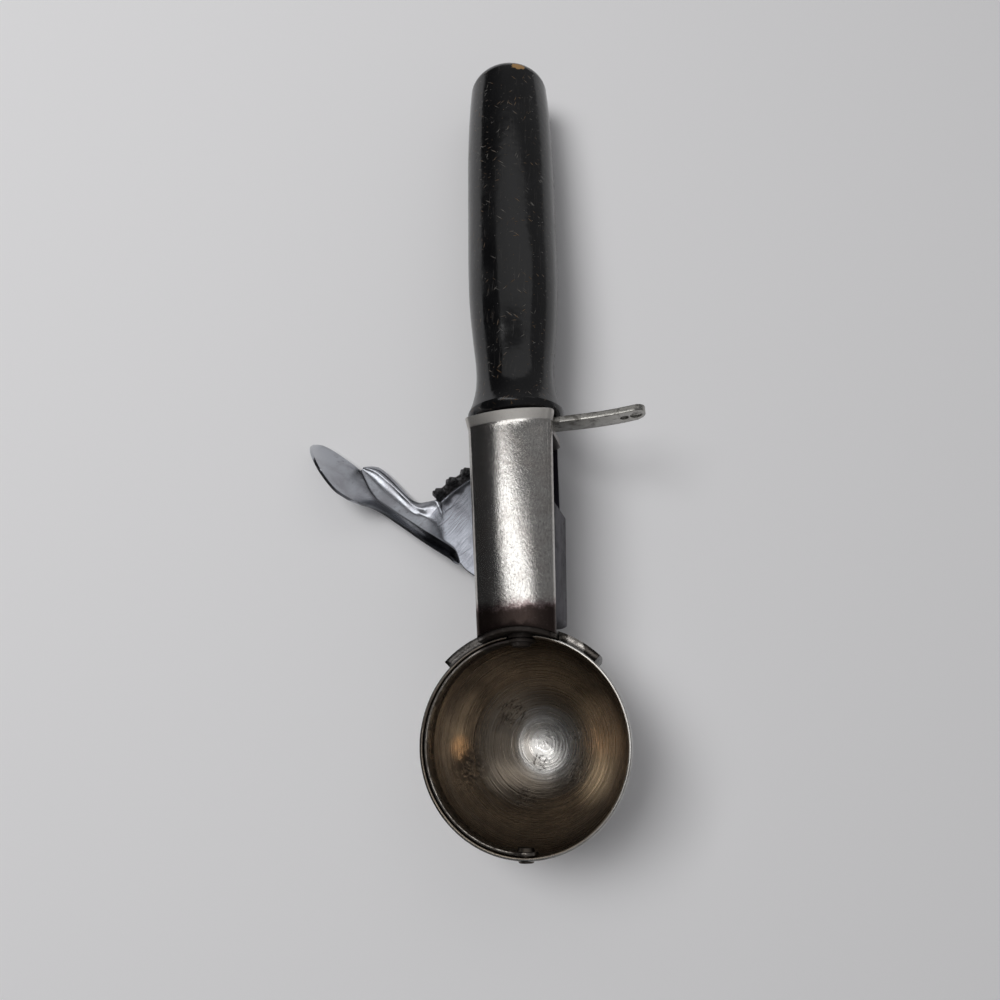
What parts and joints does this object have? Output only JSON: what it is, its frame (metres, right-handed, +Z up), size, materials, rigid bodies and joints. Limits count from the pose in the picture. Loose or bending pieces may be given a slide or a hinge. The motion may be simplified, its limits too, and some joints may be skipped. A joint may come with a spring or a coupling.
{
  "type": "lever ice cream scoop",
  "caption": "Ice cream scoop with a round bowl, a sweeping scraper inside it driven by a toothed thumb lever, a finger rest and a turned black handle.",
  "frame": {"origin": "middle of the footprint, on the table that the scoop lies on", "axes": "+Z up from the table, +Y along the tool from the bowl towards the handle's end, +X towards the finger rest; the scoop lies on its bowl, thumb pad and handle end"},
  "size_m": [0.083, 0.2034, 0.0314],
  "materials": {
    "bowl_steel": "spun and polished, stained by use",
    "cover_steel": "worn satin",
    "frame_steel": "dull, smoked",
    "lever_steel": "polished, lightly scratched",
    "plated_steel": "satin nickel",
    "bright_steel": "turned",
    "spring_steel": "drawn wire",
    "brass": "turned",
    "handle_lacquer": "gloss black lacquer over turned wood"
  },
  "bodies": {
    "body": {"bowl": "bowl_steel", "bowl_bracket": "frame_steel", "back_frame": "frame_steel", "front_cover": "cover_steel", "bracket_rivets": "frame_steel", "shaft_bushing": "brass", "thrust_washer": "brass", "scraper_pin": "plated_steel", "pivot_washer": "bright_steel", "lever_pivot_pin": "plated_steel", "return_spring": "spring_steel", "handle_tang": "plated_steel", "finger_rest": "plated_steel", "handle": "handle_lacquer"},
    "sweep": {"scraper_shaft": "bright_steel", "shaft_collar": "bright_steel", "collar_pin": "bright_steel", "pinion": "bright_steel", "pinion_pin": "bright_steel", "scraper": "plated_steel"},
    "lever": {"thumb_lever": "lever_steel"}
  },
  "joints": [
    {"name": "lever_press", "type": "hinge", "parent": "body", "child": "lever", "pos_m": [0.01398, -0.04371, 0.01001], "axis": [0.262, -0.0721, -0.9624], "range_deg": [0, 28.7], "stiffness_Nm_per_rad": 0.25, "springref_deg": -22.92},
    {"name": "scraper_sweep", "type": "hinge", "parent": "body", "child": "sweep", "pos_m": [0.01102, -0.0778, 0.0235], "axis": [0, -0.9972, 0.0747], "range_deg": [0, 176]}
  ],
  "couplings": [
    {"joint": "scraper_sweep", "follows": "lever_press", "ratio": 6.125}
  ]
}
